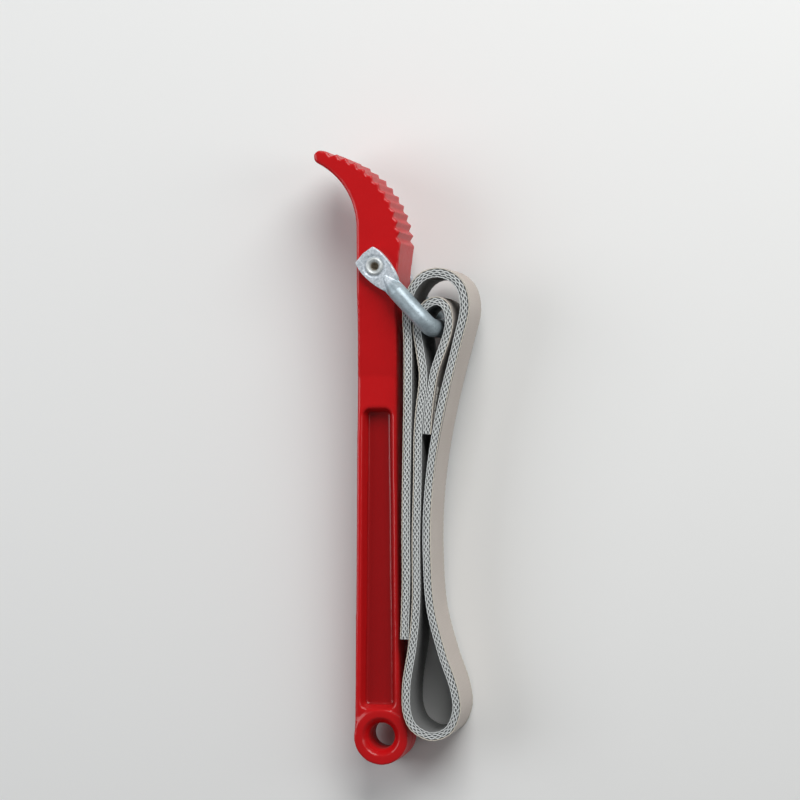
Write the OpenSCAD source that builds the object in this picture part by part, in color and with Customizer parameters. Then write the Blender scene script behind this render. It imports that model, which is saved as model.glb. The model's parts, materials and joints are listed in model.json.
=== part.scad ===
// Strap wrench: a cast handle with a toothed horn, a steel shackle that swings on a tubular
// rivet, and a woven strap that is sewn round the shackle's crossbar and folded beside the handle.
//
// The wrench lies on its side. +Y runs along the handle towards the horn, +Z is along the
// hang hole and the rivet, and the origin is the middle of the hang hole.

/* [Handle] */
// Thickness of the horn and the neck, across the strap's width
head_thick = 26; // [25:0.5:26.2]
// Thickness of the grip
grip_thick = 17; // [15:0.5:20]
// Thickness of the boss round the hang hole
boss_thick = 18; // [17:0.5:21]
// Radius of the boss round the hang hole
boss_r = 9.7; // [9:0.1:10.5]
// Radius of the hang hole
hang_hole_r = 4.6; // [3.5:0.1:5]
// Thickness of the web between the two recesses of the grip
web_thick = 7; // [5:0.5:9]
// Width of the rim left on each side of a recess
rim_w = 1.9; // [1.5:0.1:2.5]

/* [Horn] */
// Radius of the toothed edge over the tips of the teeth
horn_r = 33.7; // [33.5:0.1:34]
// Depth of a tooth
tooth_h = 1.4; // [0.8:0.1:1.6]
// Number of tooth gaps
tooth_gaps = 12; // [8:1:12]

/* [Shackle] */
// Diameter of the rod that the shackle is bent from
rod_d = 6.35; // [6:0.05:6.4]
// Distance from the rivet to the crossbar
shackle_reach = 29; // [28.8:0.1:29.4]
// Free width between the two ears
ear_gap = 26.6; // [26.5:0.1:27.5]
// Thickness of the flattened ears
ear_thick = 3; // [2.5:0.1:3.5]
// Width of an ear at the rivet
ear_w = 10; // [9.4:0.1:10.4]

/* [Rivet] */
// Diameter of the rivet's shank
rivet_d = 5.5; // [5:0.1:5.6]
// Diameter of the hollow in its tubular end
rivet_hollow_d = 3.3; // [2.5:0.1:3.6]

/* [Strap] */
// Width of the webbing
strap_w = 25.4; // [24:0.1:25.6]
// Thickness of the webbing
strap_t = 3; // [2.6:0.1:3.1]
// Diameter of the sewing thread
thread_d = 0.8; // [0.6:0.1:0.9]

/* [Hidden] */
$fn = 64;

pivot = [-0.7, 164.4];          // rivet axis, in plan
rest_angle = -47.5;             // direction of the shackle's legs from the rivet
boss_centre = [0.1, -0.3];
rim_chamfer = 1.6;              // countersink of the hang hole, on both faces
rim_flare = 2;                  // how much wider than the hole the countersink is
slip = 0.1;                     // radial clearance of the rivet in the handle
snug = 0.02;                    // radial clearance of the rivet in the ears
over = 1;                       // how far a cutter runs past the face that it cuts

// Horn: the toothed edge is an arc about horn_c, and the hollow edge an arc about hollow_c.
horn_c = [-25.6, 172];
hollow_c = [-33.55, 178.1];
hollow_r = 25.6;
tip_c = [-20.85, 203];
tip_r = 2.35;
tip_out = 81.3;                 // where the tip's round meets the toothed arc
tip_in = 63;                    // where it meets the hollow arc
first_gap = 4.5;                // angle of the tooth gap nearest the rivet
last_gap = 74.7;                // angle of the tooth gap nearest the tip

// Neck: the head's thickness tapers to the grip's between these two stations.
neck_low = 126;
neck_high = 156;

// Recess of the grip
recess_low = 9.6;
recess_high = 115;
recess_draft = 1.2;             // how much narrower the floor is than the mouth, per side
recess_corner = 3;

// Shackle
leg_z = ear_gap / 2 + rod_d / 2;
ear_face = ear_gap / 2 + ear_thick;
bend_r = 5;                     // radius of the bends, to the middle of the rod
ear_end = 6.1;                  // how far an ear runs past the rivet
crown_start = 4;                // where the rod's crown comes out of the ear
ear_root = 9;                   // where the ear has narrowed to the rod's width
rod_start = 12;                 // where the leg is fully round
dimple_r = 4;                   // seat that the clinch presses into the upper ear
dimple_h = 0.25;
slab = 0.1;                     // thickness of the slices that a hull joins

// Rivet
rivet_head_r = 4.8;
rivet_head_h = 2;
clinch_r = 3.2;
clinch_h = 1;
hollow_depth = 8;

// Strap: the middle of the webbing in plan. It starts at the sewn end, goes round the crossbar
// and down to the lower fold, up to the upper fold, and through the shackle to the free end.
strap_route = [
    [17.2, 106], [18, 116], [19, 123], [20.1, 128.4], [24.4, 141], [25, 146.3], [23.6, 150.8],
    [20.8, 152.4], [17.4, 151.3], [14.6, 148], [13.7, 143], [14.6, 136], [15.8, 127.5],
    [15.7, 123], [14.8, 116], [14, 106], [13.8, 90], [13.3, 70], [13.3, 47], [12.1, 32.5],
    [9.9, 18], [10.2, 8.8], [12.6, 3.8], [18.6, 0.8], [24.6, 2.9], [27.6, 9.5], [27, 16.7],
    [22.7, 29.4], [18.6, 45], [17.3, 62], [17.3, 78], [19, 97], [22.4, 116], [27.8, 138],
    [30.3, 150.6], [28.9, 157.1], [25.5, 160.6], [20.6, 162], [15.7, 160.7], [11.8, 156.2],
    [10.1, 150], [10.4, 138], [10.4, 120], [9.9, 92], [9.7, 72], [9.8, 56], [9.2, 34.5]
];
route_steps = 5;                // stretches that each gap between two route points is cut into

// Eye seam: rows of lock stitch through the sewn end and the run behind it.
seam_rows = 4;
seam_pitch = 2.8;
seam_stitches = 5;
seam_low = 108.5;
seam_margin = 4;                // from the outer rows to the strap's edges
// Height, x of the sewn end and x of the run behind it, at three places along the seam
sewn_stack = [
    for (i = [0:2]) [strap_route[i][1], strap_route[i][0], strap_route[15 - i][0]]
];

// A point of the centripetal Catmull-Rom curve between p1 and p2
function knot(a, b) = pow(max(norm(b - a), 0.001), 0.5);
function curve_point(p0, p1, p2, p3, t) =
    let (a = knot(p0, p1), b = knot(p1, p2), c = knot(p2, p3))
    let (m1 = b * ((p1 - p0) / a - (p2 - p0) / (a + b) + (p2 - p1) / b))
    let (m2 = b * ((p2 - p1) / b - (p3 - p1) / (b + c) + (p3 - p2) / c))
    (2 * p1 - 2 * p2 + m1 + m2) * pow(t, 3) + (3 * p2 - 3 * p1 - 2 * m1 - m2) * pow(t, 2)
    + m1 * t + p1;

// The smooth curve through a list of points, ends included
function curve(p, steps) =
    let (last = len(p) - 1)
    let (q = concat([2 * p[0] - p[1]], p, [2 * p[last] - p[last - 1]]))
    concat(
        [for (i = [0:last - 1], k = [0:steps - 1])
            curve_point(q[i], q[i + 1], q[i + 2], q[i + 3], k / steps)],
        [p[last]]
    );

function arc(centre, r, from, to, n) =
    [for (i = [0:n]) let (a = from + (to - from) * i / n) centre + r * [cos(a), sin(a)]];

// The toothed edge, from the tip's round down to the last tooth above the rivet
function teeth() =
    let (pitch = (last_gap - first_gap) / (tooth_gaps - 1))
    [for (i = [0:2 * tooth_gaps])
        let (a = last_gap + pitch / 2 - i * pitch / 2)
        let (r = i % 2 == 0 ? horn_r : horn_r - tooth_h)
        horn_c + r * [cos(a), sin(a)]];

// Outline of the casting in plan, without the boss
left_edge = curve([[-9.4, 0], [-9.1, 30], [-8.8, 70], [-8.4, 121], [-7.8, 150], [-7.9, 166]], 6);
right_edge = curve(
    [[7.6, 170], [6.9, 164], [6.3, 152], [5.8, 121], [5.9, 80], [6.3, 40], [6.9, 17], [7.5, 9],
     [8.9, 4]], 6
);
outline = concat(
    left_edge,
    arc(hollow_c, hollow_r, 0, tip_in, 20),
    arc(tip_c, tip_r, 180 + tip_in, tip_out, 16),
    teeth(),
    right_edge
);

module side_profile() {
    polygon([
        [-20, grip_thick / 2], [neck_low, grip_thick / 2], [neck_high, head_thick / 2],
        [220, head_thick / 2], [220, -head_thick / 2], [neck_high, -head_thick / 2],
        [neck_low, -grip_thick / 2], [-20, -grip_thick / 2]
    ]);
}

// A bar whose plan is the outline and whose thickness follows the side profile
module casting() {
    intersection() {
        translate([0, 0, -head_thick]) linear_extrude(2 * head_thick) polygon(outline);
        translate([-60, 0, 0]) rotate([90, 0, 90]) linear_extrude(120) side_profile();
    }
}

// The cutter of one recess: sides that follow the grip's taper and lean in towards the floor
module recess() {
    low_l = -9.3 + rim_w;
    low_r = 6.9 - rim_w;
    high_l = -8.4 + rim_w;
    high_r = 5.8 - rim_w;
    floor_z = web_thick / 2;
    mouth_z = grip_thick / 2;
    grow = recess_draft * over / (mouth_z - floor_z);
    top_z = mouth_z + over;
    d = recess_draft;
    intersection() {
        polyhedron(
            points = [
                [low_l + d, recess_low + d, floor_z], [low_r - d, recess_low + d, floor_z],
                [high_r - d, recess_high - d, floor_z], [high_l + d, recess_high - d, floor_z],
                [low_l - grow, recess_low - grow, top_z], [low_r + grow, recess_low - grow, top_z],
                [high_r + grow, recess_high + grow, top_z],
                [high_l - grow, recess_high + grow, top_z]
            ],
            faces = [
                [0, 1, 2, 3], [7, 6, 5, 4], [0, 4, 5, 1], [1, 5, 6, 2], [2, 6, 7, 3], [3, 7, 4, 0]
            ]
        );
        linear_extrude(grip_thick) polygon(concat(
            arc([low_l + recess_corner, recess_low + recess_corner], recess_corner, 180, 270, 8),
            arc([low_r - recess_corner, recess_low + recess_corner], recess_corner, 270, 360, 8),
            arc([high_r - recess_corner, recess_high - recess_corner], recess_corner, 0, 90, 8),
            arc([high_l + recess_corner, recess_high - recess_corner], recess_corner, 90, 180, 8)
        ));
    }
}

module hang_hole() {
    cylinder(h = boss_thick + 2 * over, r = hang_hole_r, center = true);
    for (side = [0, 1]) mirror([0, 0, side])
        translate([0, 0, boss_thick / 2 - rim_chamfer])
            cylinder(h = 2 * rim_chamfer, r1 = hang_hole_r, r2 = hang_hole_r + 2 * rim_flare);
}

module handle() {
    color("crimson") difference() {
        union() {
            casting();
            translate([boss_centre[0], boss_centre[1], 0])
                cylinder(h = boss_thick, r = boss_r, center = true);
        }
        for (side = [0, 1]) mirror([0, 0, side]) recess();
        hang_hole();
        translate([pivot[0], pivot[1], 0])
            cylinder(h = head_thick + 2 * over, d = rivet_d + 2 * slip, center = true);
    }
}

// Places children so that their +X runs from the rivet along the shackle's legs
module at_shackle() {
    translate([pivot[0], pivot[1], 0]) rotate([0, 0, rest_angle]) children();
}

// One side of an ear, from its blunt end to where it has narrowed to the rod
ear_side = curve([
    [-ear_end + 0.5, 0.42 * ear_w], [-ear_end + 3.3, 0.49 * ear_w], [1, 0.5 * ear_w],
    [5.6, 0.43 * ear_w], [ear_root, rod_d / 2]
], 4);

module ear_plan() {
    n = len(ear_side) - 1;
    polygon(concat(
        [[-ear_end, 0]],
        ear_side,
        [[rod_start, rod_d / 2], [rod_start, -rod_d / 2]],
        [for (i = [n:-1:0]) [ear_side[i][0], -ear_side[i][1]]]
    ));
}

// One leg: a flattened ear, the crown that rises out of it, and the rod up to the bend
module leg() {
    intersection() {
        translate([0, 0, ear_gap / 2]) linear_extrude(ear_thick) ear_plan();
        union() {
            translate([-2 * ear_w, -ear_w, ear_gap / 2]) cube([2 * ear_w + ear_root, 2 * ear_w, rod_d]);
            translate([0, 0, leg_z]) rotate([0, 90, 0]) cylinder(h = rod_start, d = rod_d);
        }
    }
    hull() {
        translate([crown_start, -slab / 2, ear_face - slab]) cube(slab);
        translate([rod_start - slab, 0, leg_z]) rotate([0, 90, 0])
            cylinder(h = slab, d = rod_d, $fn = 32);
    }
    translate([rod_start - slab, 0, leg_z]) rotate([0, 90, 0])
        cylinder(h = shackle_reach - bend_r - rod_start + slab, d = rod_d);
    translate([shackle_reach - bend_r, 0, leg_z - bend_r]) rotate([90, 0, 0])
        rotate_extrude(angle = 90) translate([bend_r, 0]) circle(d = rod_d);
}

module shackle() {
    color("lightsteelblue") at_shackle() difference() {
        union() {
            for (side = [0, 1]) mirror([0, 0, side]) leg();
            translate([shackle_reach, 0, 0])
                cylinder(h = 2 * (leg_z - bend_r), d = rod_d, center = true);
        }
        cylinder(h = 2 * ear_face + 2 * over, d = rivet_d + 2 * snug, center = true);
        translate([0, 0, ear_face - dimple_h]) cylinder(h = dimple_h + over, r = dimple_r);
    }
}

// Half section of the rivet: a domed head below, a hollow shank rolled outwards above
module rivet_section() {
    shank_r = rivet_d / 2;
    hollow_r = rivet_hollow_d / 2;
    seat = ear_face - dimple_h;
    roll_c = [(hollow_r + clinch_r) / 2, seat];
    roll_r = (clinch_r - hollow_r) / 2;
    polygon(concat(
        [for (i = [0:12]) let (a = 90 * i / 12)
            [rivet_head_r * sin(a), -ear_face - rivet_head_h * cos(a)]],
        [[shank_r, -ear_face], [shank_r, seat], [clinch_r, seat]],
        [for (i = [0:12]) let (a = 180 * i / 12)
            roll_c + [roll_r * cos(a), clinch_h * sin(a)]],
        [[hollow_r, seat - hollow_depth], [0, seat - hollow_depth - hollow_r / 2]]
    ));
}

module pivot_rivet() {
    color("silver") translate([pivot[0], pivot[1], 0]) rotate_extrude() rivet_section();
}

// Unit normal in plan, to the left of the way that the curve runs
function side_of(c, i) =
    let (a = c[max(i - 1, 0)], b = c[min(i + 1, len(c) - 1)])
    let (d = [b[0] - a[0], b[1] - a[1]]) [-d[1], d[0]] / norm(d);

module strap() {
    c = curve(strap_route, route_steps);
    n = len(c);
    color("silver") linear_extrude(strap_w, center = true) polygon(concat(
        [for (i = [0:n - 1]) c[i] + strap_t / 2 * side_of(c, i)],
        [for (i = [n - 1:-1:0]) c[i] - strap_t / 2 * side_of(c, i)]
    ));
}

// Across the sewn stack at one height: the x of its inner or outer face
function stack_x(level, outer) =
    let (k = outer ? 0 : 1)
    lookup(level, [for (s = sewn_stack) [s[0], s[k + 1] + (outer ? 0.5 : -0.5) * strap_t]]);

// Outline of the sewn stack between two heights, with its faces moved out by grow
function stack_band(from, to, grow) = [
    [stack_x(from, false) - grow, from], [stack_x(from, true) + grow, from],
    [stack_x(to, true) + grow, to], [stack_x(to, false) - grow, to]
];

// One row of lock stitch: a thread on each outer face, joined through every needle hole
module seam_row() {
    thread_r = thread_d / 2;
    seam_high = seam_low + seam_stitches * seam_pitch;
    translate([0, 0, -thread_r]) linear_extrude(thread_d) difference() {
        polygon(stack_band(seam_low - thread_r, seam_high + thread_r, thread_r));
        for (k = [0:seam_stitches - 1]) polygon(stack_band(
            seam_low + k * seam_pitch + thread_r, seam_low + (k + 1) * seam_pitch - thread_r, -0.2
        ));
    }
}

module eye_stitching() {
    reach = strap_w / 2 - seam_margin;
    color("white") for (row = [0:seam_rows - 1]) {
        across = reach * (2 * row / (seam_rows - 1) - 1);
        translate([0, 0, across]) seam_row();
    }
}

handle();
shackle();
pivot_rivet();
strap();
eye_stitching();
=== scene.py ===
"""Looks of the strap wrench: painted cast handle, zinc-plated shackle, rivet, webbing and seam.

Lengths are in metres, in the row's frame: +Y runs along the handle from the hang hole to the
horn, +Z is along the rivet, and +X is the side where the strap lies.
"""

import json
import math

import bpy
import numpy as np
from mathutils import Matrix, Vector, noise


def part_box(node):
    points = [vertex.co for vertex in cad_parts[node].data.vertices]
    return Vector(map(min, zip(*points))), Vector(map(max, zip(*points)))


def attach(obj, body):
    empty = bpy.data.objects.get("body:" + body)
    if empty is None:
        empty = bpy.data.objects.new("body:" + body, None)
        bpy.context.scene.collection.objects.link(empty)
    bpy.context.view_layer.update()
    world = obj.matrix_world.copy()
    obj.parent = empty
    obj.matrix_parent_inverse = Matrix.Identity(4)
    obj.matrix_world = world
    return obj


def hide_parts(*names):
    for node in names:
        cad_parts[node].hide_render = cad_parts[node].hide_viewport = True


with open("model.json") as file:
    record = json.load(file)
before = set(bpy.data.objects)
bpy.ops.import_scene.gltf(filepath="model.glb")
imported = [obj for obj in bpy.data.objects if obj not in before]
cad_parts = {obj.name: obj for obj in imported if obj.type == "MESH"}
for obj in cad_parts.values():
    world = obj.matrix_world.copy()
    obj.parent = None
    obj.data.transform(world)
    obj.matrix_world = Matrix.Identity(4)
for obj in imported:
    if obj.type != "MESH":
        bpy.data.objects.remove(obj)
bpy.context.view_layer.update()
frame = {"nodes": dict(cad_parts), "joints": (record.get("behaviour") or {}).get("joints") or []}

MM = 0.001
joints = {j["name"]: Vector(j["pos_m"]) for j in frame["joints"]}
pivot = joints["shackle_pivot"]
crossbar = joints["strap_swing"]
leg_dir = (crossbar - pivot).normalized()
strap_low, strap_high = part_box("strap")
shackle_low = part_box("shackle")[0]

# ---------------------------------------------------------------- camera

VIEW_ROLL = math.radians(11)
VIEW_TARGET = Vector((5.26, 117.9, 0)) * MM
VIEW_DISTANCE = 1.0
VIEW_LENS = 127.5      # focal length, in millimetres, as is the sensor's width
VIEW_SENSOR = 36


def add_camera():
    """The camera looks along -Z, rolled about the handle's length towards the strap's side."""
    data = bpy.data.cameras.new("camera")
    data.sensor_width = VIEW_SENSOR
    data.lens = VIEW_LENS
    camera = bpy.data.objects.new("camera", data)
    bpy.context.scene.collection.objects.link(camera)
    back = Vector((math.sin(VIEW_ROLL), 0, math.cos(VIEW_ROLL)))
    side = Vector((math.cos(VIEW_ROLL), 0, -math.sin(VIEW_ROLL)))
    turn = Matrix((side, Vector((0, 1, 0)), back)).transposed().to_4x4()
    turn.translation = VIEW_TARGET + VIEW_DISTANCE * back
    camera.matrix_world = turn
    bpy.context.scene.camera = camera


add_camera()

# ---------------------------------------------------------------- mesh helpers


def add_piece(name, mesh, body, node=None):
    """A smooth-shaded piece that rides on a body and may stand for a CAD node."""
    piece = bpy.data.objects.new(name, mesh)
    bpy.context.scene.collection.objects.link(piece)
    mesh.shade_smooth()
    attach(piece, body)
    if node:
        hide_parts(node)
    return piece


def mesh_of(name, points, faces):
    mesh = bpy.data.meshes.new(name)
    mesh.from_pydata(np.asarray(points).tolist(), [], [tuple(f) for f in faces])
    mesh.update()
    return mesh


def even_copy(node, voxel):
    """The mesh of a CAD node, rebuilt in even quads."""
    work = bpy.data.objects.new("work", frame["nodes"][node].data.copy())
    bpy.context.scene.collection.objects.link(work)
    even = work.modifiers.new("even", "REMESH")
    even.mode = "VOXEL"
    even.voxel_size = voxel
    graph = bpy.context.evaluated_depsgraph_get()
    mesh = bpy.data.meshes.new_from_object(work.evaluated_get(graph))
    bpy.data.objects.remove(work)
    return mesh


def read_points(mesh):
    flat = np.zeros(len(mesh.vertices) * 3)
    mesh.vertices.foreach_get("co", flat)
    return flat.reshape(-1, 3)


def read_normals(mesh):
    flat = np.zeros(len(mesh.vertices) * 3, np.float32)
    mesh.vertices.foreach_get("normal", flat)
    return flat.reshape(-1, 3).astype(float)


def write_points(mesh, points):
    mesh.vertices.foreach_set("co", points.ravel())
    mesh.update()


def relax(mesh, rounds, weight=None):
    """Rounds edges off: each point moves towards the middle of its neighbours."""
    points = read_points(mesh)
    edges = np.zeros(len(mesh.edges) * 2, np.int32)
    mesh.edges.foreach_get("vertices", edges)
    a, b = edges.reshape(-1, 2).T
    count = np.bincount(edges, minlength=len(points))[:, None]
    share = 0.5 if weight is None else 0.5 * weight[:, None]
    for _ in range(rounds):
        total = np.zeros_like(points)
        np.add.at(total, a, points[b])
        np.add.at(total, b, points[a])
        points = points + share * (total / count - points)
    write_points(mesh, points)


def lumps(points, size, seed):
    """Smooth noise, from -1 to 1, whose lumps are about size across."""
    shift = Vector((seed * 7.3, seed * 3.1, seed * 5.7))
    return np.array([noise.noise(Vector(p) / size + shift) for p in points])


def set_attribute(mesh, name, values):
    layer = mesh.attributes.new(name, "FLOAT", "POINT")
    layer.data.foreach_set("value", np.asarray(values, np.float32))


def smoothstep(low, high, value):
    """Eases from 0 at low to 1 at high; low may be the greater of the two."""
    t = np.clip((value - low) / (high - low), 0, 1)
    return t * t * (3 - 2 * t)


def tube_faces(rings, sides, start=0):
    """The side quads of an open tube whose points are numbered ring by ring from start."""
    i, j = np.meshgrid(np.arange(rings - 1), np.arange(sides), indexing="ij")
    k = (j + 1) % sides
    quads = np.stack([i * sides + j, i * sides + k, (i + 1) * sides + k, (i + 1) * sides + j], -1)
    return quads.reshape(-1, 4) + start


class Tubes:
    """Closed tubes gathered into one mesh, with the values of its attributes at each point."""

    def __init__(self):
        self.points, self.faces, self.values, self.count = [], [], {}, 0

    def add(self, rings, outwards, **values):
        """Adds a tube of rings x sides points; outwards says whether its quads already face out."""
        length, sides = rings.shape[:2]
        first = tuple(range(self.count, self.count + sides))
        last = tuple(j + (length - 1) * sides for j in first)
        faces = [tuple(f) for f in tube_faces(length, sides, self.count)]
        faces += [first[::-1], last]
        self.faces += faces if outwards else [f[::-1] for f in faces]
        self.points.append(rings.reshape(-1, 3))
        for name, value in values.items():
            spread = np.broadcast_to(value, (length, sides))
            self.values.setdefault(name, []).append(spread.ravel())
        self.count += length * sides

    def mesh(self, name):
        mesh = mesh_of(name, np.vstack(self.points), self.faces)
        for key, parts in self.values.items():
            set_attribute(mesh, key, np.concatenate(parts))
        return mesh


# ---------------------------------------------------------------- material helpers


class Shader:
    """A node material. Inputs given as sockets are linked, and plain values are set."""

    def __init__(self, name):
        self.material = bpy.data.materials.new(name)
        self.material.use_nodes = True
        self.tree = self.material.node_tree
        self.tree.nodes.clear()
        self.surface = self.tree.nodes.new("ShaderNodeBsdfPrincipled")
        out = self.tree.nodes.new("ShaderNodeOutputMaterial")
        self.tree.links.new(self.surface.outputs[0], out.inputs[0])

    def make(self, kind, _out=0, _props=None, **inputs):
        """Adds a node and returns its output; inputs go by name, or as i0, i1, i2 by number."""
        node = self.tree.nodes.new("ShaderNode" + kind)
        for key, value in (_props or {}).items():
            setattr(node, key, value)
        for key, value in inputs.items():
            numbered = key[0] == "i" and key[1:].isdigit()
            self.feed(node.inputs[int(key[1:]) if numbered else key.replace("_", " ")], value)
        return node.outputs[_out]

    def feed(self, socket, value):
        if isinstance(value, bpy.types.NodeSocket):
            self.tree.links.new(value, socket)
        else:
            socket.default_value = value

    def set(self, **inputs):
        """Gives the surface shader its inputs."""
        for key, value in inputs.items():
            self.feed(self.surface.inputs[key.replace("_", " ")], value)

    def math(self, operation, a, b=0.0, c=0.0):
        return self.make("Math", _props={"operation": operation}, i0=a, i1=b, i2=c)

    def place(self, scale=(1, 1, 1), turn=(0, 0, 0)):
        """The point in the piece's own coordinates, turned and scaled."""
        where = self.make("TexCoord", _out=3)
        return self.make("Mapping", Vector=where, Scale=scale, Rotation=turn)

    def noise(self, vector, scale, detail=2.0, rough=0.5):
        return self.make("TexNoise", Vector=vector, Scale=scale, Detail=detail, Roughness=rough)

    def ramp(self, value, low, high):
        """Black or white at two places, and a straight blend between them."""
        node = self.tree.nodes.new("ShaderNodeValToRGB")
        self.feed(node.inputs[0], value)
        for mark, (place, level) in zip(node.color_ramp.elements, (low, high)):
            mark.position = place
            mark.color = (level, level, level, 1)
        return node.outputs[0]

    def mix(self, factor, a, b):
        """Colour a where factor is 0, and b where it is 1."""
        node = self.tree.nodes.new("ShaderNodeMix")
        node.data_type = "RGBA"
        self.feed(node.inputs[0], factor)
        self.feed(node.inputs[6], a)
        self.feed(node.inputs[7], b)
        return node.outputs[2]

    def attribute(self, name):
        return self.make("Attribute", _out=2, _props={"attribute_name": name})

    def bump(self, height, distance, strength, under=None):
        """A normal from a height, over another bump if one is given."""
        node = self.tree.nodes.new("ShaderNodeBump")
        node.inputs["Strength"].default_value = strength
        node.inputs["Distance"].default_value = distance
        self.feed(node.inputs["Height"], height)
        if under is not None:
            self.feed(node.inputs["Normal"], under)
        return node.outputs[0]


def srgb(*levels):
    """The linear colour of an 8-bit display colour."""
    shares = [level / 255 for level in levels]
    return (*[c / 12.92 if c < 0.0405 else ((c + 0.055) / 1.055) ** 2.4 for c in shares], 1)


# ---------------------------------------------------------------- handle

HANDLE_VOXEL = 0.45 * MM
HORN_X, HORN_Y = -25.6 * MM, 172 * MM    # centre of the toothed arc
TOOTH_FOOT_R = 31.6 * MM                 # radius, about that centre, of the gaps between teeth
WORN_R = (33.0 * MM, 33.6 * MM)          # the paint's wear grows from the first to the second
HEAD_Y = 166 * MM                        # the horn lies beyond this
WORN_Y = 172.5 * MM                      # and the teeth that wear beyond this
DISH_R, DISH_W, DISH_D = 6.7 * MM, 2.1 * MM, 0.8 * MM    # dish round the hang hole
FLASH_W = 0.42 * MM
FLASH_END = (152 * MM, 144 * MM)         # Y where the flash is ground off
RECESS_Z = 7.6 * MM                      # a recess is nearer the middle of the handle than this
RECESS_Y = (9 * MM, 116 * MM)


def paint_material():
    """Gloss red paint: painted shade darkens the recesses; duller on the sides, chipped on the
    teeth.
    """
    s = Shader("red_paint")
    place = s.place()
    coarse = s.noise(place, 45, 3)
    fine = s.noise(place, 650, 2)
    speck = s.noise(place, 2400, 2, 0.6)
    wear = s.attribute("wear")
    low = s.attribute("low")
    side = s.attribute("side")
    red = s.mix(coarse, srgb(178, 14, 18), srgb(194, 18, 22))
    # Painted shade: where the attribute low is 1, in the recesses, the red is darkened.
    red = s.mix(s.math("MULTIPLY", low, 0.85), red, srgb(146, 10, 14))
    chip = s.math("MULTIPLY", wear, s.math("GREATER_THAN", s.noise(place, 900, 4, 0.7), 0.6))
    red = s.mix(s.math("MULTIPLY", wear, 0.35), red, srgb(206, 52, 50))
    rough = s.math("MULTIPLY_ADD", chip, 0.3, 0.17)
    s.set(
        Base_Color=s.mix(chip, red, srgb(92, 84, 82)),
        Roughness=s.math("MULTIPLY_ADD", side, 0.3, s.math("MULTIPLY_ADD", fine, 0.1, rough)),
        Specular_IOR_Level=0.3,
        Coat_Weight=0.2,
        Coat_Roughness=0.06,
        Normal=s.bump(speck, 0.02 * MM, 0.25, s.bump(fine, 0.2 * MM, 0.22)),
    )
    return s.material


def make_handle():
    """The casting: edges rounded off, a dished hang hole, a parting line and a cast skin."""
    mesh = even_copy("handle", HANDLE_VOXEL)
    points = read_points(mesh)
    from_horn = np.hypot(points[:, 0] - HORN_X, points[:, 1] - HORN_Y)
    toothed = (points[:, 1] > HEAD_Y) & (from_horn > TOOTH_FOOT_R)
    # The teeth stay crisper than the rest of the casting.
    relax(mesh, 7, np.where(toothed, 0.2, 1.0))
    points = read_points(mesh)
    normals = read_normals(mesh)
    sideways = np.hypot(normals[:, 0], normals[:, 1])
    # The hang hole is dished on both faces, out to a crisp edge.
    from_hole = np.hypot(points[:, 0], points[:, 1])
    dish = np.clip((DISH_R - from_hole) / DISH_W, 0, 1) * DISH_D
    dish *= smoothstep(3 * MM, 6 * MM, np.abs(points[:, 2]))
    points[:, 2] -= np.sign(points[:, 2]) * dish
    # The casting's parting line runs round the outline, halfway through its thickness, and is
    # ground off the head, where the strap turns. Both it and the cast skin are in millimetres.
    flash = np.exp(-((points[:, 2] / FLASH_W) ** 2)) * (sideways > 0.8)
    flash *= 0.2 + 0.09 * lumps(points, 3 * MM, 1)
    flash *= smoothstep(*FLASH_END, points[:, 1])
    skin = 0.04 * lumps(points, 6 * MM, 2) + 0.018 * lumps(points, 1.9 * MM, 3)
    points = points + normals * ((flash + skin) * MM)[:, None]
    write_points(mesh, points)
    in_recess = (np.abs(points[:, 2]) < RECESS_Z) & (sideways < 0.9)
    in_recess &= (points[:, 1] > RECESS_Y[0]) & (points[:, 1] < RECESS_Y[1])
    worn = toothed & (points[:, 1] > WORN_Y)
    # The attribute low marks the recesses, which the paint darkens as painted shade.
    set_attribute(mesh, "low", in_recess)
    set_attribute(mesh, "side", smoothstep(0.6, 0.95, sideways))
    set_attribute(mesh, "wear", worn * smoothstep(*WORN_R, from_horn) * 0.6)
    add_piece("handle_casting", mesh, "handle", "handle")
    mesh.materials.clear()
    mesh.materials.append(paint_material())


# ---------------------------------------------------------------- shackle and rivet

SHACKLE_VOXEL = 0.22 * MM
EAR_DROP = 0.75 * MM                 # from the rivet's top down to the upper ear's face
SEAT_DEPTH = 0.3 * MM                # how deep the rivet's roll has pressed into that ear
SEAT_R = (3.6 * MM, 3.95 * MM)       # the seat's floor ends at the first, its wall at the second
PRESSED_R = (9.5 * MM, 7.5 * MM)     # the flattened ears end, and are fully pressed
RIVET_SIDES = 96
SHANK_R = 2.75 * MM
ROLL_H, DOME_H = 1.0 * MM, 2.0 * MM
# Radius and height over the ear, in millimetres: the hollow, the funnel, the roll and its foot
ROLLED_END = [
    (0, -3.2), (0.5, -3.1), (0.9, -2.8), (1.12, -2.3), (1.2, -1.6), (1.24, -0.8), (1.36, -0.4),
    (1.58, 0.15), (1.82, 0.55), (2.1, 0.82), (2.4, 0.95), (2.7, 0.9), (2.95, 0.68), (3.14, 0.36),
    (3.2, 0.08), (3.14, -0.02), (2.76, -0.02)
]
# Radius and height over the head's flat side, in millimetres: the domed head
DOMED_END = [
    (2.76, 0), (4.5, 0), (4.78, -0.12), (4.74, -0.45), (4.4, -1), (3.6, -1.48), (2.5, -1.8),
    (1.3, -1.95), (0, -2)
]


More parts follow.
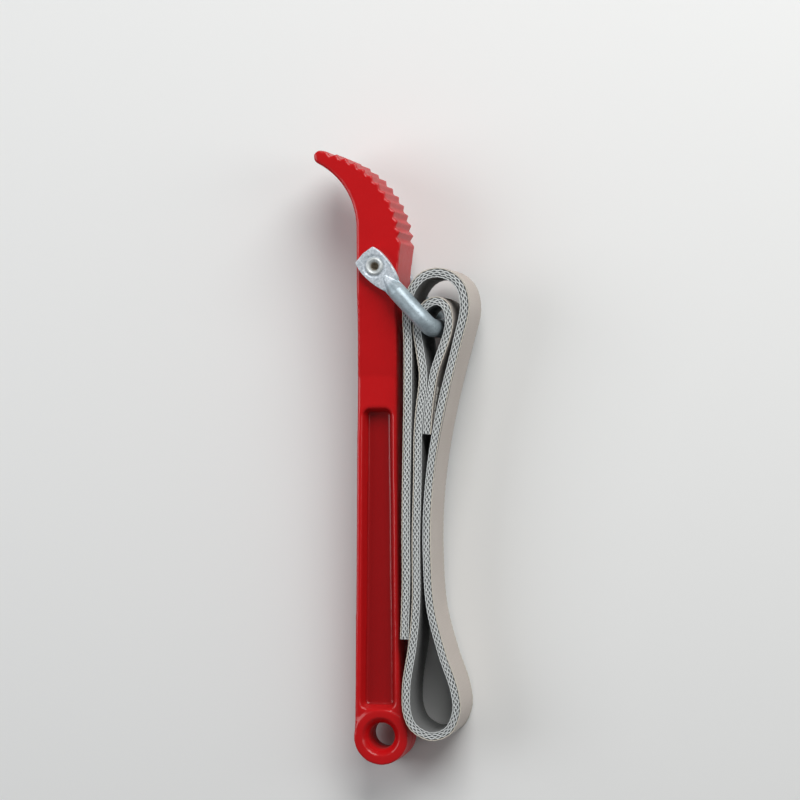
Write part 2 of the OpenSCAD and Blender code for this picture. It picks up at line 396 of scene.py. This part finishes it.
def zinc_material(name, tints, turn):
    """Zinc plate over drawn steel: fine lines along the piece, clouds, flecks and dark marks.

    The first two tints are the light and the dark one of the plain plate, and the other two are
    those of the places where the attribute "lit_ear_and_hollow" is 1: lighter ones on the
    shackle's flat ear, which are painted light, and the rivet hollow's own brownish ones.
    """
    s = Shader(name)
    lines = s.noise(s.place((60, 2600, 2600), (0, 0, turn)), 1.0, 3, 0.6)
    cloud = s.noise(s.place(), 160, 3, 0.6)
    fleck = s.noise(s.place(), 1300, 3, 0.65)
    mark = s.noise(s.place((500, 1500, 1500), (0, 0, turn)), 1.0, 3, 0.7)
    mark = s.ramp(mark, (0.3, 1), (0.36, 0))
    light, dark, lit_ear_and_hollow_light, lit_ear_and_hollow_dark = tints
    lit_ear_and_hollow = s.attribute("lit_ear_and_hollow")
    blotch = s.ramp(s.noise(s.place(), 1100, 4, 0.7), (0.34, 0), (0.66, 1))
    mottle = s.math("MULTIPLY_ADD", fleck, 1.1, s.math("SUBTRACT", cloud, 0.55))
    colour = s.mix(mottle, dark, light)
    # Where lit_ear_and_hollow is 1, the other tints take over: painted light on the shackle's ear.
    colour = s.mix(lit_ear_and_hollow, colour, s.mix(blotch, lit_ear_and_hollow_dark, lit_ear_and_hollow_light))
    colour = s.mix(s.math("MULTIPLY", mark, 0.55), colour, srgb(86, 92, 96))
    rough = s.math("MULTIPLY_ADD", lines, 0.2, 0.24)
    uneven = s.bump(cloud, 0.2 * MM, 0.22, s.bump(lines, 0.03 * MM, 0.35))
    s.set(
        Base_Color=colour,
        Roughness=s.math("MULTIPLY_ADD", fleck, 0.26, rough),
        Metallic=0.5,
        Normal=s.bump(fleck, 0.06 * MM, 0.3, uneven),
    )
    return s.material


def make_shackle():
    """The bent rod, with the seat of the rivet's roll in its upper ear."""
    ear_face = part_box("pivot_rivet")[1].z - EAR_DROP
    mesh = even_copy("shackle", SHACKLE_VOXEL)
    relax(mesh, 4)
    points = read_points(mesh)
    from_rivet = np.hypot(points[:, 0] - pivot.x, points[:, 1] - pivot.y)
    seat = ear_face - SEAT_DEPTH * (1 - smoothstep(*SEAT_R, from_rivet))
    upper = (points[:, 2] > ear_face - 0.6 * MM) & (from_rivet < 5 * MM) & (from_rivet > 3 * MM)
    points[upper, 2] = np.minimum(points[upper, 2], seat[upper])
    write_points(mesh, points)
    normals = read_normals(mesh)
    skin = 0.02 * lumps(points, 4 * MM, 4) + 0.008 * lumps(points, 0.9 * MM, 5)
    write_points(mesh, points + normals * (skin * MM)[:, None])
    # Painted light: the flattened ear gets lighter tints for the brighter light its flat face
    # catches.
    set_attribute(mesh, "lit_ear_and_hollow", smoothstep(*PRESSED_R, from_rivet))
    add_piece("shackle_forging", mesh, "shackle", "shackle")
    turn = -math.atan2(leg_dir.y, leg_dir.x)
    # The last two tints, lighter than the first two, are the ear's painted light.
    tints = (srgb(184, 197, 203), srgb(130, 145, 152), srgb(224, 231, 236), srgb(164, 174, 182))
    mesh.materials.clear()
    mesh.materials.append(zinc_material("zinc_plate", tints, turn))


def make_rivet():
    """The rivet is lathed from its hollow, over the roll and down the shank, to its head."""
    low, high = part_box("pivot_rivet")
    seat = high.z - ROLL_H
    face = low.z + DOME_H
    outline = [(r * MM, seat + h * MM) for r, h in ROLLED_END]
    outline += [(SHANK_R, seat - 1.5 * MM), (SHANK_R, 0.0), (SHANK_R, face + 1.0 * MM)]
    outline += [(r * MM, face + h * MM) for r, h in DOMED_END]
    points = [(pivot.x, pivot.y, outline[0][1])]
    for radius, height in outline[1:-1]:
        on_end = height > seat - 0.1 * MM or height < face
        for j in range(RIVET_SIDES):
            angle = 2 * math.pi * j / RIVET_SIDES
            hammered = 0.025 * MM * math.sin(5 * angle + 0.7) + 0.02 * MM * math.sin(3 * angle)
            r = radius + hammered * on_end
            points.append((pivot.x + r * math.cos(angle), pivot.y + r * math.sin(angle), height))
    points.append((pivot.x, pivot.y, outline[-1][1]))
    rings = len(outline) - 2
    faces = [tuple(f[::-1]) for f in tube_faces(rings, RIVET_SIDES, 1)]
    last = len(points) - 1
    base = 1 + (rings - 1) * RIVET_SIDES
    for j in range(RIVET_SIDES):
        k = (j + 1) % RIVET_SIDES
        faces.append((0, 1 + j, 1 + k))
        faces.append((last, base + k, base + j))
    mesh = mesh_of("pivot_rivet_turned", points, faces)
    points = read_points(mesh)
    from_axis = np.hypot(points[:, 0] - pivot.x, points[:, 1] - pivot.y)
    inside = smoothstep(1.5 * MM, 1.3 * MM, from_axis) * (points[:, 2] > 0)
    set_attribute(mesh, "lit_ear_and_hollow", inside)
    piece = add_piece("pivot_rivet_turned", mesh, "shackle", "pivot_rivet")
    smooth = piece.modifiers.new("smooth", "SUBSURF")
    smooth.levels = smooth.render_levels = 1
    tints = (srgb(226, 230, 230), srgb(176, 182, 181), srgb(206, 197, 180), srgb(132, 124, 110))
    mesh.materials.append(zinc_material("rivet_zinc", tints, 0.0))


# ---------------------------------------------------------------- strap

# Middle of the webbing in plan, in millimetres, as in the CAD: from the sewn end, round the
# crossbar, down to the lower fold, up to the upper fold, and through the shackle to the free end
ROUTE = [
    (17.2, 106), (18, 116), (19, 123), (20.1, 128.4), (24.4, 141), (25, 146.3), (23.6, 150.8),
    (20.8, 152.4), (17.4, 151.3), (14.6, 148), (13.7, 143), (14.6, 136), (15.8, 127.5),
    (15.7, 123), (14.8, 116), (14, 106), (13.8, 90), (13.3, 70), (13.3, 47), (12.1, 32.5),
    (9.9, 18), (10.2, 8.8), (12.6, 3.8), (18.6, 0.8), (24.6, 2.9), (27.6, 9.5), (27, 16.7),
    (22.7, 29.4), (18.6, 45), (17.3, 62), (17.3, 78), (19, 97), (22.4, 116), (27.8, 138),
    (30.3, 150.6), (28.9, 157.1), (25.5, 160.6), (20.6, 162), (15.7, 160.7), (11.8, 156.2),
    (10.1, 150), (10.4, 138), (10.4, 120), (9.9, 92), (9.7, 72), (9.8, 56), (9.2, 34.5)
]
STRAP_T = 3.0 * MM
STRAP_W = strap_high.z - strap_low.z
WEAVE = 2.16 * MM          # length of one repeat of the weave
FACE_COLUMNS = 20          # warp columns across a face
FACE_INSET = 0.05 * MM     # how far the mean face lies inside the strap's thickness
EDGE_INSET = 0.22 * MM     # and the mean edge inside its width
CORNER_R = 0.45 * MM
RELIEF = 0.16 * MM         # of the weave, from its hollows to its crests
SWELL = 0.5 * MM           # how much thicker the loose upper fold is, on its outer face
SWELL_RISE = (345 * MM, 366 * MM)    # places along the route
SWELL_FALL = (398 * MM, 380 * MM)
PLIES = 5                  # warp threads that show across an edge
PLY_SPREAD = STRAP_T - 0.42 * MM     # from the middle of the first thread to that of the last
PLY_SIDES = 5


def route_curve(steps):
    """Points on the centripetal Catmull-Rom curve through the route."""
    p = np.array(ROUTE) * MM
    p = np.vstack([2 * p[0] - p[1], p, 2 * p[-1] - p[-2]])
    found = []
    for i in range(len(p) - 3):
        p0, p1, p2, p3 = p[i:i + 4]
        a, b, c = (np.linalg.norm(q) ** 0.5 for q in (p1 - p0, p2 - p1, p3 - p2))
        m1 = b * ((p1 - p0) / a - (p2 - p0) / (a + b) + (p2 - p1) / b)
        m2 = b * ((p2 - p1) / b - (p3 - p1) / (b + c) + (p3 - p2) / c)
        for t in np.arange(steps) / steps:
            found.append((2 * p1 - 2 * p2 + m1 + m2) * t ** 3
                         + (3 * p2 - 3 * p1 - 2 * m1 - m2) * t ** 2 + m1 * t + p1)
    found.append(p[-2])
    return np.array(found)


def along_route(spacing):
    """Places at an even spacing along the route: how far, where, and the side direction."""
    fine = route_curve(40)
    run = np.r_[0, np.cumsum(np.linalg.norm(np.diff(fine, axis=0), axis=1))]
    count = int(round(run[-1] / spacing)) + 1
    far = np.linspace(0, run[-1], count)
    where = np.stack([np.interp(far, run, fine[:, k]) for k in (0, 1)], 1)
    ahead = np.gradient(where, axis=0)
    ahead /= np.linalg.norm(ahead, axis=1)[:, None]
    return far, where, np.stack([-ahead[:, 1], ahead[:, 0]], 1)


def fold_swell(far):
    """How much thicker the webbing is, on its outer face, round the loose upper fold."""
    return SWELL * smoothstep(*SWELL_RISE, far) * smoothstep(*SWELL_FALL, far)


def webbing_material():
    """Beige outside the folds, darker grey inside them (own colour and painted shade), painted
    shade in hollows and edges.
    """
    s = Shader("woven_webbing")
    along = s.attribute("along")
    across = s.attribute("across")
    height = s.attribute("height")
    cloud = s.noise(s.place(), 60, 3)
    fibre_place = s.make("CombineXYZ", X=s.math("MULTIPLY", along, 900),
                         Y=s.math("MULTIPLY", across, 9000), Z=0.0)
    fibre = s.noise(fibre_place, 1.0, 3, 0.6)
    # Painted shade: the weave's hollows, where height is low, are darkened on both faces.
    painted_hollow_shade = s.math("MULTIPLY", s.math("SUBTRACT", 1.0, height), 0.5)
    outer_face = s.mix(cloud, srgb(182, 170, 160), srgb(198, 188, 180))
    outer_face = s.mix(painted_hollow_shade, outer_face, srgb(128, 118, 108))
    outer_face = s.mix(s.math("MULTIPLY", fibre, 0.35), outer_face, srgb(210, 203, 194))
    # The face inside the folds is darker grey: partly the webbing's own colour, partly painted
    # shade of the folds.
    inner_face = s.mix(cloud, srgb(98, 99, 98), srgb(116, 117, 115))
    inner_face = s.mix(painted_hollow_shade, inner_face, srgb(62, 63, 63))
    inner_face = s.mix(s.math("MULTIPLY", fibre, 0.4), inner_face, srgb(152, 153, 152))
    face = s.mix(s.attribute("inner"), outer_face, inner_face)
    # Painted shade: the edge under the threads, seen only between them, is dark grey.
    edge = s.mix(fibre, srgb(66, 68, 68), srgb(104, 106, 106))
    s.set(
        Base_Color=s.mix(s.attribute("border"), face, edge),
        Roughness=0.82,
        Specular_IOR_Level=0.3,
        Sheen_Weight=0.15,
        Normal=s.bump(fibre, 0.1 * MM, 0.6),
    )
    return s.material


def selvedge_material():
    """Light grey threads with darker strands, and one cream thread on each edge."""
    s = Shader("edge_threads")
    along = s.attribute("along")
    turn = s.attribute("turn")
    tint = s.attribute("tint")
    ply_place = s.make("CombineXYZ", X=s.math("MULTIPLY", along, 2500),
                       Y=s.math("MULTIPLY", turn, 3.0), Z=s.math("MULTIPLY", tint, 40.0))
    ply = s.noise(ply_place, 1.0, 2, 0.6)
    strands = s.ramp(ply, (0.35, 0), (0.62, 1))
    grey = s.mix(strands, srgb(150, 153, 152), srgb(238, 241, 239))
    cream = s.mix(ply, srgb(188, 180, 166), srgb(220, 213, 200))
    s.set(
        Base_Color=s.mix(s.attribute("cream"), grey, cream),
        Roughness=0.46,
        Specular_IOR_Level=0.6,
        Sheen_Weight=0.1,
        Normal=s.bump(ply, 0.12 * MM, 0.7),
    )
    return s.material


def make_strap():
    """The webbing: at each place along the route, a ring of points round its cross-section."""
    far, where, side = along_route(WEAVE / 4)
    rings = len(far)
    half_w, half_t = STRAP_W / 2 - EDGE_INSET, STRAP_T / 2 - FACE_INSET
    flat_w, flat_t = half_w - CORNER_R, half_t - CORNER_R
    steps = 2 * FACE_COLUMNS
    row = np.arange(steps + 1)
    arc = np.radians([22, 45, 68])
    # The ring: one face, an edge, the other face and the other edge. Across is a, and through
    # the thickness is b.
    face_a = np.linspace(-flat_w, flat_w, steps + 1)
    edge_a = np.r_[flat_w + CORNER_R * np.sin(arc), half_w, flat_w + CORNER_R * np.sin(arc[::-1])]
    edge_b = np.r_[flat_t + CORNER_R * np.cos(arc), 0.0, -flat_t - CORNER_R * np.cos(arc[::-1])]
    edge_n = len(edge_a)
    bare = np.zeros(edge_n)
    a = np.r_[face_a, edge_a, face_a[::-1], -edge_a]
    b = np.r_[np.full(steps + 1, half_t), edge_b, np.full(steps + 1, -half_t), edge_b[::-1]]
    on_face = np.r_[np.ones(steps + 1), bare, np.ones(steps + 1), bare]
    column = np.r_[row, bare, row[::-1], bare] / 2
    sides = len(a)
    phase = 2 * math.pi * far / WEAVE
    weave = np.cos(phase[:, None] + math.pi * np.floor(column + 0.25)[None, :])
    rounded = 0.5 + 0.5 * np.cos(2 * math.pi * (column[None, :] % 1.0))
    height = (0.5 + 0.5 * weave * (0.4 + 0.6 * rounded)) * on_face[None, :]
    lift = RELIEF * (height - 0.55) * on_face[None, :]
    slack = 0.12 * MM * np.sin(far / (31 * MM)) + 0.08 * MM * np.sin(far / (11.3 * MM) + 1.0)
    bow = slack[:, None] * (a[None, :] / half_w) ** 2
    swell = fold_swell(far)[:, None] * (0.5 - b[None, :] / STRAP_T)
    offset = b[None, :] + np.sign(b)[None, :] * lift + bow - swell
    points = np.zeros((rings, sides, 3))
    points[:, :, :2] = where[:, None, :] + side[:, None, :] * offset[:, :, None]
    points[:, :, 2] = a[None, :]
    faces = [tuple(f) for f in tube_faces(rings, sides)]
    # Each end is closed with strips that run through the webbing's thickness.
    right_edge, left_edge = steps + 1, 2 * (steps + 1) + edge_n
    bottom = left_edge - 1 - row
    for ring in (0, rings - 1):
        base = ring * sides
        ends = [(base + i, base + i + 1, base + bottom[i + 1], base + bottom[i])
                for i in range(steps)]
        ends.append(tuple(base + i for i in range(steps, right_edge + edge_n + 1)))
        ends.append(tuple(base + i for i in range(left_edge - 1, sides)) + (base,))
        faces += ends if ring else [f[::-1] for f in ends]
    mesh = mesh_of("strap_webbing", points.reshape(-1, 3), faces)
    set_attribute(mesh, "along", np.repeat(far, sides))
    set_attribute(mesh, "across", np.tile(a, rings))
    set_attribute(mesh, "height", height.ravel())
    set_attribute(mesh, "border", np.tile(1 - on_face, rings))
    # The attribute inner marks the face inside the folds, which is painted darker, partly as
    # painted shade.
    set_attribute(mesh, "inner", np.tile(b > 0, rings))
    piece = add_piece("strap_webbing", mesh, "strap", "strap")
    mesh.materials.append(webbing_material())
    return piece


def make_selvedge():
    """The threads that show along both edges, waving against each other like a net."""
    far, where, side = along_route(WEAVE / 8)
    gap = PLY_SPREAD / (PLIES - 1)
    angles = 2 * math.pi * np.arange(PLY_SIDES) / PLY_SIDES
    tubes = Tubes()
    for edge in (-1, 1):
        for ply in range(PLIES):
            centre = (ply - (PLIES - 1) / 2) * gap
            border = ply in (0, PLIES - 1)
            drift = 0.35 * np.sin(far / (9 * MM) + 1.9 * ply + edge)
            drift += 0.25 * np.sin(far / (3.7 * MM) + 2.7 * ply)
            wave = 2 * math.pi * far / WEAVE + math.pi * ply + drift
            swing = 0.05 if border else 0.17 + 0.03 * np.sin(far / (5.3 * MM) + ply)
            b = centre + swing * MM * np.sin(wave)
            b -= fold_swell(far) * (0.5 - centre / STRAP_T)
            a = edge * (STRAP_W / 2 - EDGE_INSET + 0.08 * MM * np.cos(2 * wave))
            thick = 0.2 if border else 0.24 + 0.03 * np.sin(far / (7 * MM) + 2 * ply + edge)
            radius = thick * MM * np.ones(len(far))
            rings = np.zeros((len(far), PLY_SIDES, 3))
            out_b = b[:, None] + radius[:, None] * np.cos(angles)
            rings[:, :, :2] = where[:, None, :] + side[:, None, :] * out_b[:, :, None]
            rings[:, :, 2] = a[:, None] + edge * radius[:, None] * 0.85 * np.sin(angles)
            tubes.add(rings, edge > 0, along=far[:, None], turn=angles,
                      tint=ply + PLIES * (edge > 0), cream=ply == 0)
    mesh = tubes.mesh("strap_edge_threads")
    piece = add_piece("strap_edge_threads", mesh, "strap")
    mesh.materials.append(selvedge_material())
    return piece


# ---------------------------------------------------------------- eye stitching

SEAM_ROWS = 4
SEAM_STITCHES = 5
SEAM_MARGIN = 0.4 * MM     # from the seam's box to the middle of its thread
STITCH_STEPS = 12
THREAD_R = 0.36 * MM
THREAD_SIDES = 10


def thread_material():
    """Off-white thread with a twist."""
    s = Shader("sewing_thread")
    lay = s.make("CombineXYZ", X=s.math("MULTIPLY", s.attribute("along"), 1500),
                 Y=s.attribute("turn"), Z=0.0)
    ply = s.noise(lay, 1.0, 2, 0.5)
    s.set(
        Base_Color=s.mix(ply, srgb(190, 188, 180), srgb(226, 224, 216)),
        Roughness=0.6,
        Sheen_Weight=0.2,
        Normal=s.bump(ply, 0.08 * MM, 0.6),
    )
    return s.material


def make_stitching():
    """Lock stitch: on both faces of the sewn stack a thread dips into every needle hole."""
    low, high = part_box("eye_stitching")
    first, last = low.y + SEAM_MARGIN, high.y - SEAM_MARGIN
    reach = high.z - SEAM_MARGIN
    # The route's points by Y and X, for the sewn end and for the run that it is sewn to
    route = np.array(ROUTE)[:, ::-1] * MM
    sewn_end, run_behind = route[0:4], route[12:16][::-1]
    count = SEAM_STITCHES * STITCH_STEPS + 1
    y = np.linspace(first, last, count)
    far = np.linspace(0, last - first, count)
    beat = np.abs(np.sin(np.linspace(0, SEAM_STITCHES * math.pi, count)))
    angles = 2 * math.pi * np.arange(THREAD_SIDES) / THREAD_SIDES
    twist = far[:, None] / (0.35 * MM)
    r = THREAD_R * (1 + 0.12 * np.cos(2 * angles + twist))
    up = np.array([0, 0, 1.0])
    tubes = Tubes()
    for row in range(SEAM_ROWS):
        z = reach * (2 * row / (SEAM_ROWS - 1) - 1)
        for face, stack in ((1, sewn_end), (-1, run_behind)):
            x = np.interp(y, stack[:, 0], stack[:, 1]) + face * (STRAP_T / 2)
            x += face * (np.power(beat, 0.45) * 0.5 - 0.46) * MM
            path = np.stack([x, y, np.full(count, z)], 1)
            ahead = np.gradient(path, axis=0)
            ahead /= np.linalg.norm(ahead, axis=1)[:, None]
            out = np.cross(up, ahead)
            rings = (path[:, None, :] + out[:, None, :] * (r * np.cos(angles))[:, :, None]
                     + up * (r * np.sin(angles))[:, :, None])
            tubes.add(rings, True, along=far[:, None], turn=angles)
    mesh = tubes.mesh("eye_stitching_thread")
    piece = add_piece("eye_stitching_thread", mesh, "strap", "eye_stitching")
    mesh.materials.append(thread_material())
    return piece


make_handle()
make_shackle()
make_rivet()
webbing = make_strap()
selvedge = make_selvedge()
stitching = make_stitching()
strap_length = float(along_route(1 * MM)[0][-1])

# ---------------------------------------------------------------- floor, light, world

FLOOR_HALF = 3.0
FLOOR_GAP = 0.2 * MM


def make_floor():
    """A pale floor under the strap's lower fold, pitched to meet the shackle as well."""
    corners = [(-1, -1, 0), (1, -1, 0), (1, 1, 0), (-1, 1, 0)]
    mesh = mesh_of("floor", np.array(corners) * FLOOR_HALF, [(0, 1, 2, 3)])
    floor = bpy.data.objects.new("floor", mesh)
    bpy.context.scene.collection.objects.link(floor)
    drop = strap_low.z - shackle_low.z
    pitch = math.atan2(drop, crossbar.y)
    under = Matrix.Translation((0, 0, strap_low.z - FLOOR_GAP))
    floor.matrix_world = under @ Matrix.Rotation(-pitch, 4, "X")
    s = Shader("pale_floor")
    s.set(Base_Color=srgb(228, 228, 226), Roughness=0.9, Specular_IOR_Level=0.1)
    mesh.materials.append(s.material)


def add_light(name, place, size, power, colour=(1, 1, 1)):
    """A rectangular light at a place told from the view's target, which it faces."""
    data = bpy.data.lights.new(name, "AREA")
    data.shape = "RECTANGLE"
    data.size, data.size_y = size
    data.energy = power
    data.color = colour
    light = bpy.data.objects.new(name, data)
    bpy.context.scene.collection.objects.link(light)
    spot = VIEW_TARGET + Vector(place)
    light.location = spot
    light.rotation_euler = (VIEW_TARGET - spot).to_track_quat("-Z", "Y").to_euler()


def make_world():
    """A faint, even, slightly cool surrounding light."""
    world = bpy.data.worlds.new("studio")
    world.use_nodes = True
    back = world.node_tree.nodes["Background"]
    back.inputs["Color"].default_value = (0.93, 0.96, 1.0, 1)
    back.inputs["Strength"].default_value = 0.16
    bpy.context.scene.world = world
    bpy.context.scene.view_settings.view_transform = "Standard"


make_floor()
add_light("key", (0.3, 0.72, 0.66), (0.75, 0.6), 9.5)
add_light("side", (0.75, 0.1, 0.45), (0.3, 0.6), 1.2)
add_light("fill", (-0.7, 0.1, 0.62), (0.5, 0.6), 3.0, (0.95, 0.97, 1))
make_world()
